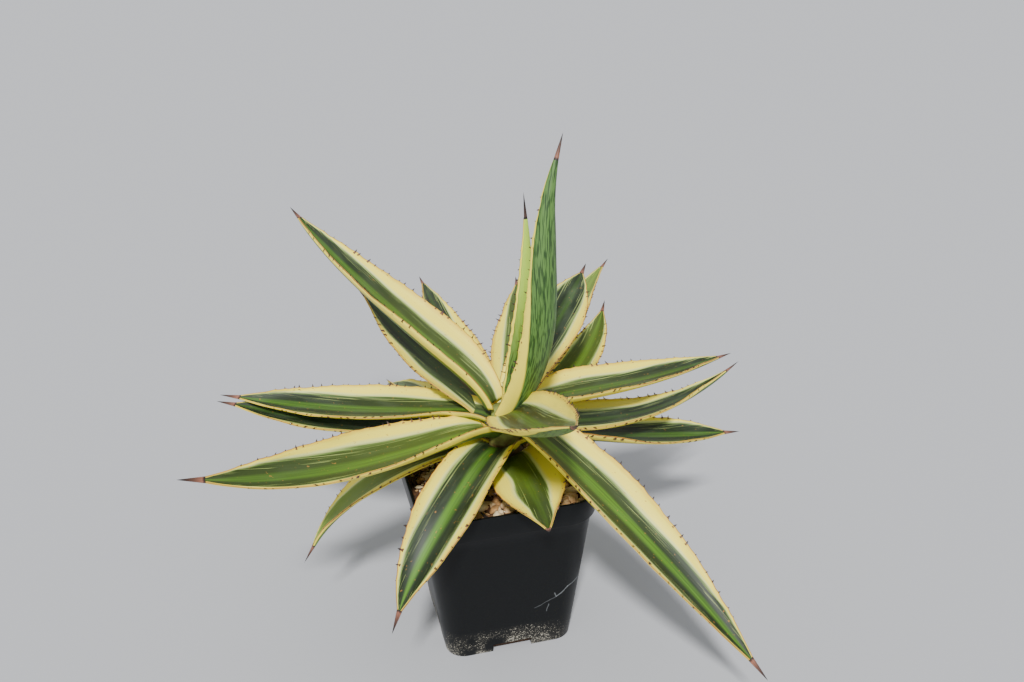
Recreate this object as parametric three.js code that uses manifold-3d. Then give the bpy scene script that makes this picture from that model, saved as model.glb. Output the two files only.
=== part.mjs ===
// Quadricolor agave in a square nursery pot, as a scene graph of closed solids.
// Millimetres, +Z up. The origin is the middle of the pot's underside, the pot's sides face
// along X and Y, and -Y is the side that is seen from the front.
// The pieces are the pot, its gritty soil, the short stem that carries the leaves, the rolled
// spear at the heart, and one solid for each leaf, with its teeth and terminal spine grown on.

import * as THREE from "three";
import { mergeVertices } from "three/addons/utils/BufferGeometryUtils.js";
import Module from "manifold-3d";

const wasm = await Module();
wasm.setup();

// Driving dimensions of the pot
const pot = {
  rimWidth: 89, // outside, across the flats at the top, the 3.5 inch nursery size
  rimHeight: 12,
  rimFlare: 1.5, // how much wider the rim is at its top than at its foot
  rimOverhang: 1.8, // how far the rim's foot stands out past the body, each side
  rimStep: 0.02, // height over which the body steps out to the rim, all but level
  rimCorner: 17.5, // corner radius
  height: 88,
  footWidth: 64.5, // outside, across the flats at the surface
  footCorner: 9.5,
  wall: 1.2,
  floor: 1.6,
  cornerSteps: 4, // straight steps in each rounded corner
};

// Driving dimensions of the recess at the foot of each side, and of the drain holes
const recess = { width: 20, height: 4.5, depth: 6, past: 10 }; // past: cut on beyond the surface
const drain = { radius: 3.5, reach: 18, sides: 12, run: 10 };

// Driving dimensions of the soil and of the grit that lies on it
const soilBelowRim = 5;
const grit = {
  count: 64,
  smallest: 1.2, // radius of a stone
  largest: 2.8,
  length: 1.2, // proportions of a stone, as shares of its radius
  breadth: 0.9,
  thickness: 0.75,
  tilt: 0.4, // share of its turn by which a stone lies askew
  margin: 5, // kept clear of stones inside the rim
  cornerCut: 1.6, // x plus y past which a place counts as in a corner, over the reach of one side
  seed: 7,
};
const seatGap = 0.3; // air between pieces that stand in or on each other

// Driving dimensions of the stem, which stands in the soil and carries the leaves
const stem = {
  x: 6, // the plant grows a little right of the pot's middle
  y: 0,
  foot: 58, // lower end, inside the soil
  shoulder: 108, // height up to which it keeps its full radius
  top: 120,
  radius: 8.5,
  topRadius: 6,
  sides: 16,
};

// What all leaves share, angles in degrees
const blade = {
  stations: 14,
  columns: 4, // flat strips across a face
  crowding: 1.25, // above 1 the stations crowd towards the base, where the leaf bends most
  swellPower: 1.1,
  tipShare: 0.05,
  taperPower: 1.6,
  baseThickness: 3.4,
  tipThickness: 1.3,
  marginThickness: 0.8,
  bellyPower: 1.8, // how the thickness falls from the middle of the face to its margins
  neckLength: 9, // how fast the steep start by the stem gives way to the leaf's own slope
  tipFold: 60, // how tightly the channel closes at the tip
  turnPower: 1.5, // sweep and twist grow with this power of the length
  step: 1, // length of the straight steps that make up the midline
  rootShare: 0.3, // the part near the stem that leaves room for the leaves above
  spineNarrowing: 0.4, // the spine's shoulder: how much slimmer than the tip of the blade
  spineShoulder: 0.35, // and at what share of the spine's length it lies
};
const usual = {
  width: 31,
  base: 0.42, // width at the base over the greatest width
  widest: 0.45, // share of the length at which the leaf is widest
  sweep: 0,
  roll: 0,
  twist: 0,
  fold: 28,
  neck: 40,
  droop: 1, // the bend grows with this power of the length
  seat: 7, // distance from the stem's middle at which the leaf starts
  spine: 12, // length of the terminal spine
};
const tooth = {
  spacing: 16,
  length: 2.1,
  root: 1.5, // sunk into the blade
  halfWidth: 0.85,
  halfThickness: 0.6,
  first: 0.14, // first and last tooth, as shares of the leaf's length
  last: 0.88,
  jitter: 0.25, // how far a tooth may stray from its place, as a share of the spacing
  stagger: 0.25, // the two margins' teeth are set this share of the spacing before and behind
  lean: 0.8, // how far a tooth's point may lean along the margin
  seed: 11,
};

// One entry per leaf, from the heart outwards. azimuth is counter-clockwise from +X. rise is the
// slope above level, bend is added to it by the tip, and neck is the extra steepness at the stem.
// sweep turns the leaf sideways, roll and twist turn its face about its own length, and fold is
// the depth of its channel. height is where it leaves the stem.
const leaves = [
  {
    name: "central_spear", azimuth: 308, length: 99, width: 13, widest: 0.38, height: 120.5,
    seat: 1, rise: 69, bend: 27, neck: 0, fold: 60,
  },
  {
    name: "leaf_01", azimuth: 301, length: 137, width: 21, base: 0.85, widest: 0.32,
    height: 117, seat: 5, rise: 49, bend: 63, neck: 10, sweep: -88, roll: 1, twist: 50,
    fold: 67,
  },
  {
    name: "leaf_02", azimuth: 270, length: 131, width: 35, base: 0.5, widest: 0.36,
    height: 119, rise: 12, bend: 22, sweep: -7, roll: 22, twist: -16, fold: 40,
  },
  {
    name: "leaf_03", azimuth: 137, length: 152, width: 37, base: 0.5, widest: 0.28,
    height: 120, rise: 31, bend: -10, sweep: -25, roll: 11, fold: 56,
  },
  {
    name: "leaf_04", azimuth: 8, length: 127, width: 33, base: 0.5, widest: 0.33, height: 116,
    rise: -4, bend: 2, sweep: 16, fold: 42,
  },
  {
    name: "leaf_05", azimuth: 44, length: 103, width: 32, base: 0.5, widest: 0.5, height: 115,
    rise: 28, bend: -15, sweep: 14, roll: -5, twist: 18,
  },
  {
    name: "leaf_06", azimuth: 146, length: 140, width: 33, base: 0.5, widest: 0.42,
    height: 114, rise: -15, bend: 19, sweep: 8, roll: 3, twist: -28, fold: 37,
  },
  {
    name: "leaf_07", azimuth: 304, length: 153, width: 34, base: 0.75, widest: 0.35,
    height: 113, rise: -22, bend: -18, sweep: 5, roll: -7, twist: 30, fold: 50,
  },
  {
    name: "leaf_08", azimuth: 68, length: 119, width: 25, height: 112, rise: 11, bend: -3,
    sweep: 10,
  },
  {
    name: "leaf_09", azimuth: 198, length: 143, width: 36, base: 0.55, widest: 0.36,
    height: 109, rise: -8, bend: 30, sweep: 5, roll: 11, twist: -62, fold: 52,
  },
  {
    name: "leaf_10", azimuth: 2, length: 128, base: 0.5, widest: 0.4, height: 108, rise: -19,
    bend: 34, sweep: 24, roll: 9, twist: -42, fold: 30,
  },
  {
    name: "leaf_11", azimuth: 121, length: 111, base: 0.5, widest: 0.4, height: 109, rise: 12,
    bend: 11, sweep: -6,
  },
  {
    name: "leaf_12", azimuth: 234, length: 103, width: 31, base: 0.75, widest: 0.49,
    height: 101, rise: 0, bend: -65, droop: 1.3, sweep: -30, roll: 3, twist: -35, fold: 50,
  },
  {
    name: "leaf_13", azimuth: 54, length: 152, width: 28, height: 107, rise: 10, bend: 1,
    sweep: -3, roll: -8, twist: -7,
  },
  {
    name: "leaf_14", azimuth: 149, length: 143, width: 32, widest: 0.48, height: 102, rise: -9,
    bend: 13, roll: 5, twist: -30, fold: 34,
  },
  {
    name: "leaf_15", azimuth: 38, length: 119, width: 26, height: 101, rise: 3, bend: 12,
    sweep: 25,
  },
  {
    name: "leaf_16", azimuth: 98, length: 143, width: 28, height: 100, rise: 17, bend: -11,
    sweep: -7, roll: 10, twist: 8,
  },
  {
    name: "leaf_17", azimuth: 3, length: 124, width: 32, widest: 0.47, height: 101, rise: -16,
    bend: 5, sweep: 10, roll: -12, twist: 36, fold: 32,
  },
  {
    name: "leaf_18", azimuth: 182, length: 108, width: 29, height: 97, rise: 6, bend: -65,
    sweep: -10, fold: 27,
  },
  {
    name: "leaf_19", azimuth: 117, length: 124, width: 28, height: 92.5, rise: 11, bend: -37,
    sweep: -22, roll: 10,
  },
  {
    name: "leaf_20", azimuth: 275, length: 63, width: 33, base: 0.85, widest: 0.5, height: 96,
    rise: -5, bend: 0, neck: 30, sweep: -10, roll: 10, fold: 22, spine: 2,
  },
];

const radians = THREE.MathUtils.degToRad;

// A small seeded generator, so that every build draws the same grit and teeth
function randomFrom(seed) {
  let state = seed;
  return () => {
    state = (state * 16807) % 2147483647;
    return state / 2147483647;
  };
}

// Skins a row of rings, each with the same even number of points, into one closed geometry.
// A ring goes out along one long side and comes back along the other, so strips cap its ends.
function skin(rings, apex) {
  const count = rings[0].length;
  const points = rings.flat();
  const faces = [];
  for (let start = 0; start + count < points.length; start += count) {
    for (let i = 0; i < count; i++) {
      const a = start + i;
      const b = start + ((i + 1) % count);
      faces.push([a, b, b + count], [a, b + count, a + count]);
    }
  }
  const cap = (start, flipped) => {
    for (let i = 0; i + 1 < count / 2; i++) {
      const near = start + i;
      const far = start + count - 1 - i;
      const [b, c] = flipped ? [near + 1, far] : [far, near + 1];
      faces.push([near, b, c]);
      const [d, e] = flipped ? [far - 1, far] : [far, far - 1];
      faces.push([near + 1, d, e]);
    }
  };
  cap(0, false);
  const last = points.length - count;
  if (apex) {
    points.push(apex);
    for (let i = 0; i < count; i++) {
      faces.push([last + i, last + ((i + 1) % count), points.length - 1]);
    }
  } else {
    cap(last, true);
  }
  return facingOut(points, faces);
}

// A geometry from points and triangles, turned so that its faces look outwards
function facingOut(points, faces) {
  let volume = 0;
  for (const [a, b, c] of faces) {
    volume += points[a].dot(new THREE.Vector3().crossVectors(points[b], points[c]));
  }
  const geometry = new THREE.BufferGeometry();
  const numbers = points.flatMap((point) => point.toArray());
  geometry.setAttribute("position", new THREE.Float32BufferAttribute(numbers, 3));
  geometry.setIndex(faces.flatMap(([a, b, c]) => (volume > 0 ? [a, b, c] : [a, c, b])));
  return geometry;
}

function toSolid(geometry) {
  const bare = geometry.clone();
  bare.deleteAttribute("normal");
  bare.deleteAttribute("uv");
  const merged = mergeVertices(bare);
  const vertProperties = new Float32Array(merged.attributes.position.array);
  const triVerts = new Uint32Array(merged.index.array);
  return new wasm.Manifold(new wasm.Mesh({ numProp: 3, vertProperties, triVerts }));
}

function toGeometry(solid) {
  const mesh = solid.getMesh();
  const geometry = new THREE.BufferGeometry();
  geometry.setAttribute("position", new THREE.Float32BufferAttribute(mesh.vertProperties, 3));
  geometry.setIndex(Array.from(mesh.triVerts));
  geometry.computeVertexNormals();
  return geometry;
}

// The largest piece of a solid, without the crumbs that a cut can leave
function largestPiece(solid) {
  const pieces = solid.decompose();
  return pieces.reduce((best, piece) => (piece.volume() > best.volume() ? piece : best));
}

// Ring of a square with rounded corners, at a height
function squareRing(width, corner, height) {
  const reach = width / 2 - corner;
  const ring = [];
  for (let quarter = 0; quarter < 4; quarter++) {
    const turn = (quarter * Math.PI) / 2;
    const middle = new THREE.Vector2(reach, reach).rotateAround(new THREE.Vector2(), turn);
    for (let i = 0; i <= pot.cornerSteps; i++) {
      const angle = turn + ((i / pot.cornerSteps) * Math.PI) / 2;
      const x = middle.x + corner * Math.cos(angle);
      const y = middle.y + corner * Math.sin(angle);
      ring.push(new THREE.Vector3(x, y, height));
    }
  }
  return ring;
}

// The pot's tapered form, drawn in by a distance from its outside, between two heights
const rimFoot = pot.height - pot.rimHeight;
const rimFootWidth = pot.rimWidth - pot.rimFlare;
const bodyTopWidth = rimFootWidth - 2 * pot.rimOverhang;

function potForm(inset, bottom, top) {
  const share = bottom / rimFoot;
  const bottomWidth = THREE.MathUtils.lerp(pot.footWidth, bodyTopWidth, share);
  const bodyCorner = pot.rimCorner - pot.rimOverhang;
  const bottomCorner = THREE.MathUtils.lerp(pot.footCorner, bodyCorner, share);
  const drawn = (width, corner, height) => squareRing(width - 2 * inset, corner - inset, height);
  return toSolid(
    skin([
      drawn(bottomWidth, bottomCorner, bottom),
      drawn(bodyTopWidth, bodyCorner, rimFoot + inset),
      drawn(rimFootWidth, pot.rimCorner, rimFoot + inset + pot.rimStep),
      drawn(pot.rimWidth, pot.rimCorner, top),
    ]),
  );
}

// The four recesses at the foot of the sides, grown by a distance
function recesses(grow) {
  const width = recess.width + 2 * grow;
  const depth = recess.depth + grow;
  const height = recess.height + grow;
  const outer = pot.footWidth / 2 + recess.past;
  const inner = pot.footWidth / 2 - depth;
  const boxes = [0, 1, 2, 3].map((side) => {
    const box = new THREE.BoxGeometry(width, outer - inner, height + recess.past);
    box.translate(0, (outer + inner) / 2, (height - recess.past) / 2);
    box.rotateZ((side * Math.PI) / 2);
    return toSolid(box);
  });
  return wasm.Manifold.union(boxes);
}

function drainHoles() {
  const corners = [[1, 1], [-1, 1], [-1, -1], [1, -1]];
  const holes = corners.map(([x, y]) => {
    const { radius, run, sides } = drain;
    const hole = new THREE.CylinderGeometry(radius, radius, run, sides);
    hole.rotateX(Math.PI / 2);
    hole.translate(x * drain.reach, y * drain.reach, 0);
    return toSolid(hole);
  });
  return wasm.Manifold.union(holes);
}

// Pot: a tapered square shell with a stepped rim, a recess in the foot of each side, drain holes
function potShell() {
  const inside = potForm(pot.wall, pot.floor, pot.height + 1).subtract(recesses(pot.wall));
  const outside = potForm(0, 0, pot.height).subtract(recesses(0));
  return largestPiece(outside.subtract(inside).subtract(drainHoles()));
}

// Grit: flattened stones with few faces, strewn over the soil by a seeded rule and sunk into it
function gritStones(surface) {
  const random = randomFrom(grit.seed);
  const reach = pot.rimWidth / 2 - grit.margin;
  const stones = [];
  while (stones.length < grit.count) {
    const x = (2 * random() - 1) * reach;
    const y = (2 * random() - 1) * reach;
    const size = THREE.MathUtils.lerp(grit.smallest, grit.largest, random() ** 2);
    const turn = random() * 2 * Math.PI;
    const inCorner = Math.abs(x) + Math.abs(y) > grit.cornerCut * reach;
    const byStem = Math.hypot(x - stem.x, y - stem.y) < stem.radius + 2 * size;
    if (inCorner || byStem) continue;
    const stone = new THREE.OctahedronGeometry(size);
    stone.scale(grit.length, grit.breadth, grit.thickness);
    stone.rotateX(turn * grit.tilt);
    stone.rotateZ(turn);
    stone.translate(x, y, surface);
    stones.push(toSolid(stone));
  }
  return wasm.Manifold.union(stones);
}

// Soil: fills the pot to a little below the rim and leaves a plain hole for the stem
function soilBody() {
  const surface = pot.height - soilBelowRim;
  const inset = pot.wall + seatGap;
  const fill = potForm(inset, pot.floor + seatGap, pot.height);
  const above = new THREE.BoxGeometry(2 * pot.rimWidth, 2 * pot.rimWidth, pot.height);
  above.translate(0, 0, surface + pot.height / 2);
  const holeRadius = stem.radius + seatGap;
  const hole = new THREE.CylinderGeometry(holeRadius, holeRadius, pot.height, stem.sides);
  hole.rotateX(Math.PI / 2);
  hole.translate(stem.x, stem.y, stem.foot - seatGap + pot.height / 2);
  const body = fill.subtract(toSolid(above)).subtract(recesses(inset));
  const stones = gritStones(surface).intersect(potForm(inset, pot.floor + seatGap, pot.height));
  return largestPiece(body.add(stones).subtract(toSolid(hole)));
}

// Stem: a short trunk that narrows to the heart, grown by a distance for the seats of the leaves
function stemBody(grow) {
  const profile = [
    new THREE.Vector2(0, stem.foot),
    new THREE.Vector2(stem.radius + grow, stem.foot),
    new THREE.Vector2(stem.radius + grow, stem.shoulder),
    new THREE.Vector2(stem.topRadius + grow, stem.top + grow),
    new THREE.Vector2(0, stem.top + grow),
  ];
  const trunk = new THREE.LatheGeometry(profile, stem.sides);
  trunk.rotateX(Math.PI / 2);
  trunk.translate(stem.x, stem.y, 0);
  return toSolid(trunk);
}

// The midline of a leaf: its place and the three directions of its face at every millimetre
function midline(leaf) {
  const count = Math.ceil(leaf.length / blade.step);
  const facing = (share) => {
    const neck = leaf.neck * Math.exp((-share * leaf.length) / blade.neckLength);
    const slope = radians(leaf.rise + leaf.bend * share ** leaf.droop + neck);
    const turn = share ** blade.turnPower;
    const heading = radians(leaf.azimuth + leaf.sweep * turn);
    const level = new THREE.Vector3(Math.cos(heading), Math.sin(heading), 0);
    const along = level.multiplyScalar(Math.cos(slope)).setZ(Math.sin(slope));
    const across = new THREE.Vector3(-Math.sin(heading), Math.cos(heading), 0);
    const roll = radians(leaf.roll + leaf.twist * turn);
    across.applyAxisAngle(along, roll);
    return { along, across, up: new THREE.Vector3().crossVectors(along, across) };
  };
  const start = radians(leaf.azimuth);
  const point = new THREE.Vector3(
    stem.x + leaf.seat * Math.cos(start),
    stem.y + leaf.seat * Math.sin(start),
    leaf.height,
  );
  const places = [];
  for (let i = 0; i <= count; i++) {
    places.push({ share: i / count, point: point.clone(), ...facing(i / count) });
    point.addScaledVector(facing((i + 0.5) / count).along, leaf.length / count);
  }
  return (share) => places[Math.round(share * count)];
}

// Width, channel and thickness of a leaf at a share of its length
function widthAt(leaf, share) {
  if (share < leaf.widest) {
    const swell = Math.sin(((Math.PI / 2) * share) / leaf.widest) ** blade.swellPower;
    return leaf.width * THREE.MathUtils.lerp(leaf.base, 1, swell);
  }
  const taper = ((share - leaf.widest) / (1 - leaf.widest)) ** blade.taperPower;
  return leaf.width * THREE.MathUtils.lerp(1, blade.tipShare, taper);
}

function foldAt(leaf, share) {
  const towardsTip = Math.max(0, 2 * share - 1) ** 2;
  return radians(THREE.MathUtils.lerp(leaf.fold, blade.tipFold, towardsTip));
}

function thicknessAt(share, side) {
  const middle = THREE.MathUtils.lerp(blade.baseThickness, blade.tipThickness, share);
  return THREE.MathUtils.lerp(middle, blade.marginThickness, Math.abs(side) ** blade.bellyPower);
}

// A point of a leaf's upper face, from -1 at one margin to 1 at the other, and its directions
function facePoint(leaf, place, side) {
  const fold = foldAt(leaf, place.share);
  const half = widthAt(leaf, place.share) / 2;
  const angle = fold * side;
  const outward = place.across.clone().multiplyScalar(Math.cos(angle));
  outward.addScaledVector(place.up, Math.sin(angle));
  const normal = place.up.clone().multiplyScalar(Math.cos(angle));
  normal.addScaledVector(place.across, -Math.sin(angle));
  const point = place.point.clone().addScaledVector(place.across, (half * Math.sin(angle)) / fold);
  point.addScaledVector(place.up, (half * (1 - Math.cos(angle))) / fold);
  return { point, outward: outward.multiplyScalar(Math.sign(side)), normal };
}

// Closed outline of a leaf across its length, out along the upper face and back along the lower
function section(leaf, place, grow) {
  const upper = [];
  const lower = [];
  for (let column = 0; column <= blade.columns; column++) {
    const side = (2 * column) / blade.columns - 1;
    const { point, outward, normal } = facePoint(leaf, place, side);
    const atMargin = Math.abs(side) === 1;
    if (atMargin) point.addScaledVector(outward, grow);
    upper.push(point.clone().addScaledVector(normal, grow));
    lower.unshift(point.addScaledVector(normal, -thicknessAt(place.share, side) - grow));
  }
  return upper.concat(lower);
}

// Blade of a leaf, ending in its terminal spine, or the room that its root needs, with no spine
function bladeBody(leaf, grow = 0, reach = 1) {
  const at = midline(leaf);
  const rings = [];
  for (let station = 0; station <= blade.stations; station++) {
    const share = (station / blade.stations) ** blade.crowding;
    if (share <= reach) rings.push(section(leaf, at(share), grow));
  }
  if (reach < 1) return toSolid(skin(rings));
  const tip = at(1);
  const shoulder = rings[rings.length - 1].map((point) => {
    const inward = tip.point.clone().sub(point).multiplyScalar(blade.spineNarrowing);
    return point.clone().add(inward).addScaledVector(tip.along, leaf.spine * blade.spineShoulder);
  });
  rings.push(shoulder);
  return toSolid(skin(rings, tip.point.clone().addScaledVector(tip.along, leaf.spine)));
}

// Teeth along both margins, each a four-sided point sunk into the blade
function teeth(leaf, random) {
  const at = midline(leaf);
  const run = (tooth.last - tooth.first) * leaf.length;
  const count = Math.floor(run / tooth.spacing);
  const points = [];
  for (const side of [-1, 1]) {
    for (let i = 0; i <= count; i++) {
      const stray = (2 * random() - 1) * tooth.jitter + side * tooth.stagger;
      const share = tooth.first + ((i + stray) / count) * (tooth.last - tooth.first);
      if (share < tooth.first || share > tooth.last) continue;
      const place = at(share);
      const { point, outward, normal } = facePoint(leaf, place, side);
      point.addScaledVector(normal, -blade.marginThickness / 2);
      const whole = tooth.length + tooth.root;
      const lean = (2 * random() - 1) * tooth.lean;
      const axis = outward.clone().multiplyScalar(whole).addScaledVector(place.along, lean);
      const wide = place.along.clone().multiplyScalar((tooth.halfWidth * whole) / tooth.length);
      const thick = normal.clone().multiplyScalar(tooth.halfThickness * side);
      const spike = new THREE.ConeGeometry(1, 1, 4);
      spike.translate(0, 0.5, 0);
      spike.applyMatrix4(new THREE.Matrix4().makeBasis(wide, axis, thick));
      const foot = point.addScaledVector(outward, -tooth.root);
      spike.translate(foot.x, foot.y, foot.z);
      points.push(toSolid(spike));
    }
  }
  return points;
}

// Materials by what each piece is made of
const finish = {
  pot: new THREE.MeshStandardMaterial({ color: 0x1b2023, roughness: 0.45, metalness: 0 }),
  soil: new THREE.MeshStandardMaterial({ color: 0x9b8266, roughness: 0.95, metalness: 0 }),
  stem: new THREE.MeshStandardMaterial({ color: 0xb9b07a, roughness: 0.7, metalness: 0 }),
  leaf: new THREE.MeshStandardMaterial({ color: 0x7d9650, roughness: 0.5, metalness: 0 }),
};

function piece(name, solid, material) {
  const mesh = new THREE.Mesh(toGeometry(solid), material);
  mesh.name = name;
  return mesh;
}

const plant = new THREE.Group();
plant.add(piece("pot", potShell(), finish.pot));
plant.add(piece("soil", soilBody(), finish.soil));
plant.add(piece("stem", stemBody(0), finish.stem));

// Each leaf leaves room for the stem and for the roots of the leaves above it
const random = randomFrom(tooth.seed);
let taken = stemBody(seatGap);
for (const entry of leaves) {
  const leaf = { ...usual, ...entry };
  const whole = wasm.Manifold.union([bladeBody(leaf), ...teeth(leaf, random)]);
  plant.add(piece(leaf.name, largestPiece(whole.subtract(taken)), finish.leaf));
  taken = taken.add(bladeBody(leaf, seatGap, blade.rootShare));
}

export default plant;
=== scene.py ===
import math
import random

import bmesh
import bpy
from mathutils import Matrix, Vector, noise


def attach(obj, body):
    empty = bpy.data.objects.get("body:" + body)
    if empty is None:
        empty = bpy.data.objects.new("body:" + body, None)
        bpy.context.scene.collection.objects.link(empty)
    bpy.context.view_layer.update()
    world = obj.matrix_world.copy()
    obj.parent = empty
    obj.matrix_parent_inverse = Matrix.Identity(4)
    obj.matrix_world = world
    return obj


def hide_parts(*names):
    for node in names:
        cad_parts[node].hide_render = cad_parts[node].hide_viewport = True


# Quadricolor agave in a square nursery pot. Shapes are worked out in millimetres, in the frame's
# axes, and turned to metres when each mesh is finished.
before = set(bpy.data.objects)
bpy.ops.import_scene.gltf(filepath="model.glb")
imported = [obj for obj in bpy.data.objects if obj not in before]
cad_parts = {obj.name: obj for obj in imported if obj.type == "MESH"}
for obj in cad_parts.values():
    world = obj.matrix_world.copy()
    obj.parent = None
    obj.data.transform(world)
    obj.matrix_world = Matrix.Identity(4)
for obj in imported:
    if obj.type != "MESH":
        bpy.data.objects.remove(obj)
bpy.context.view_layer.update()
mm = 0.001


def linear(hexColour):
    # sRGB hex to the linear values that the shaders take
    out = []
    for i in (1, 3, 5):
        c = int(hexColour[i:i + 2], 16) / 255
        out.append(c / 12.92 if c <= 0.04045 else ((c + 0.055) / 1.055) ** 2.4)
    return (*out, 1.0)


def mix(a, b, share):
    return a + (b - a) * share


def ease(value, low, high):
    share = min(1.0, max(0.0, (value - low) / (high - low)))
    return share * share * (3 - 2 * share)


# Camera, at the photograph's place and angle
camera = {"place": (-0.098, -0.420, 0.347), "lens": 35.156, "sensor": 36.0,
          "pitch": 23.9, "yaw": 14.5, "roll": -0.9, "near": 0.01}


def makeCamera():
    pitch, yaw, roll = (math.radians(camera[k]) for k in ("pitch", "yaw", "roll"))
    level = Vector((math.sin(yaw), math.cos(yaw), 0))
    side = Vector((math.cos(yaw), -math.sin(yaw), 0))
    ahead = level * math.cos(pitch) + Vector((0, 0, -math.sin(pitch)))
    up = level * math.sin(pitch) + Vector((0, 0, math.cos(pitch)))
    right = side * math.cos(roll) + up * math.sin(roll)
    top = up * math.cos(roll) - side * math.sin(roll)
    data = bpy.data.cameras.new("photoCamera")
    data.lens = camera["lens"]
    data.sensor_width = camera["sensor"]
    data.clip_start = camera["near"]
    obj = bpy.data.objects.new("photoCamera", data)
    turn = Matrix((right, top, -ahead)).transposed().to_4x4()
    obj.matrix_world = Matrix.Translation(Vector(camera["place"])) @ turn
    bpy.context.scene.collection.objects.link(obj)
    bpy.context.scene.camera = obj


makeCamera()
print("camera made")


def newMaterial(name):
    material = bpy.data.materials.new(name)
    material.use_nodes = True
    material.node_tree.nodes.clear()
    return material, material.node_tree


# Adds a node with its settings, and gives each of its inputs a value or a link
def addNode(tree, kind, settings, inputs, output=0):
    node = tree.nodes.new("ShaderNode" + kind)
    for name, value in settings.items():
        if name == "stops":
            elements = node.color_ramp.elements
            while len(elements) < len(value):
                elements.new(1.0)
            for element, (place, colour) in zip(elements, value):
                element.position = place
                element.color = linear(colour)
        else:
            setattr(node, name, value)
    for name, value in inputs.items():
        if isinstance(value, bpy.types.NodeSocket):
            tree.links.new(value, node.inputs[name])
        else:
            node.inputs[name].default_value = value
    return node.outputs[output] if node.outputs else None


# The bump, surface and output that end a material of the object
def endMaterial(tree, paint, colour, roughness, height):
    bump = addNode(tree, "Bump", {}, {
        "Strength": paint["bumpStrength"], "Distance": paint["bump"] * mm, "Height": height})
    shader = addNode(tree, "BsdfPrincipled", {}, {
        "Base Color": colour, "Roughness": roughness, "Specular IOR Level": paint["gloss"], "Normal": bump})
    addNode(tree, "OutputMaterial", {}, {"Surface": shader})


# Settings that come back in many nodes
times = {"operation": "MULTIPLY"}
plus = {"operation": "ADD"}
timesPlus = {"operation": "MULTIPLY_ADD"}  # first times second, plus third
minus = {"operation": "SUBTRACT"}
colours = {"data_type": "RGBA"}  # a colour mix has its factor at 0, its colours at 6 and 7
soft = {"interpolation_type": "SMOOTHSTEP"}  # a range from 1 to 2 becomes one from 3 to 4
objectPlace = 3  # output of the Texture Coordinate node

leafPaint = {
    "green": "#1b2a10", "stripe": "#4f7c1a", "edge": "#5f7a3c", "pale": "#d6db8a", "cream": "#fcea50",
    "creamEdge": "#e6c034", "margin": "#8d5630", "lime": "#b9dc4a", "under": "#557b39", "dash": "#27451b",
    "dry": "#94683a", "dryDark": "#5a3a1e", "bloom": "#64735a", "hairline": "#c4d67e", "spot": "#b57b33",
    "strand": "#121d0a", "roughness": 0.40, "waxRoughness": 0.25, "gloss": 0.4,
    "bump": 0.25, "bumpStrength": 0.35, "hairRidge": 0.4,  # bump in millimetres
    "slowDrift": 0.16, "fineDrift": 0.11, "driftStart": -0.135,  # how far streaks move the bands' edges
    "hairlinePlace": 0.46, "hairlineReach": 0.15,  # where among the bands the hairlines lie
    "limeStrength": 0.9, "veilOnCream": 0.3, "dryFloor": 0.5, "dryStreaks": 0.8,
}

# Colours from the midrib at 0 to the margin at 1
leafBands = ((0.0, "green"), (0.46, "green"), (0.50, "edge"), (0.57, "pale"), (0.66, "cream"),
             (0.84, "cream"), (0.96, "creamEdge"))

# Ranges that make masks: nothing at 1, all at 2, and a strength at 4 where it isn't whole
leafMasks = {
    "inside": {1: 1.0, 2: 0.4}, "green": {1: 0.56, 2: 0.47}, "midrib": {1: 0.20, 2: 0.06},
    "strand": {1: 0.60, 2: 0.42, 4: 0.5}, "hairline": {1: 0.57, 2: 0.66, 4: 0.5},
    "scar": {1: 0.69, 2: 0.74, 4: 0.6}, "dash": {1: 0.48, 2: 0.57}, "creamBelow": {1: 0.53, 2: 0.62},
    "wax": {1: 0.40, 2: 0.75, 4: 0.5}, "rim": {1: 0.965, 2: 0.985}, "rimBreaks": {1: 0.2, 2: 0.6},
}

# Attributes of a leaf's points: its band, share of the length and face (0 upper, 1 lower), its place on
# the face laid flat in millimetres, its tone, stripe and dryness, and its bloom of wax
leafLayers = ("leafPlace", "leafFlat", "leafLook", "leafFilm")

# Lengthwise streaks: how many to the millimetre across and along the leaf, and their detail
leafStreaks = {
    "slow": (0.10, 0.012, 3.0),  # drifts of the edges between colours, 10 mm wide
    "fine": (1.3, 0.02, 3.0),  # strands of tissue, under 1 mm wide and 50 mm long
    "hair": (3.2, 0.03, 2.0),  # hairlines of 0.3 mm
    "wax": (0.25, 0.05, 4.0),  # patches of bloom, 4 mm wide
    "dash": (2.6, 0.14, 1.0),  # dashes of the lower face, 0.4 mm wide and 7 mm long
    "speck": (0.8, 0.5, 2.0),  # old scars, 1 to 2 mm
}


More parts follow.
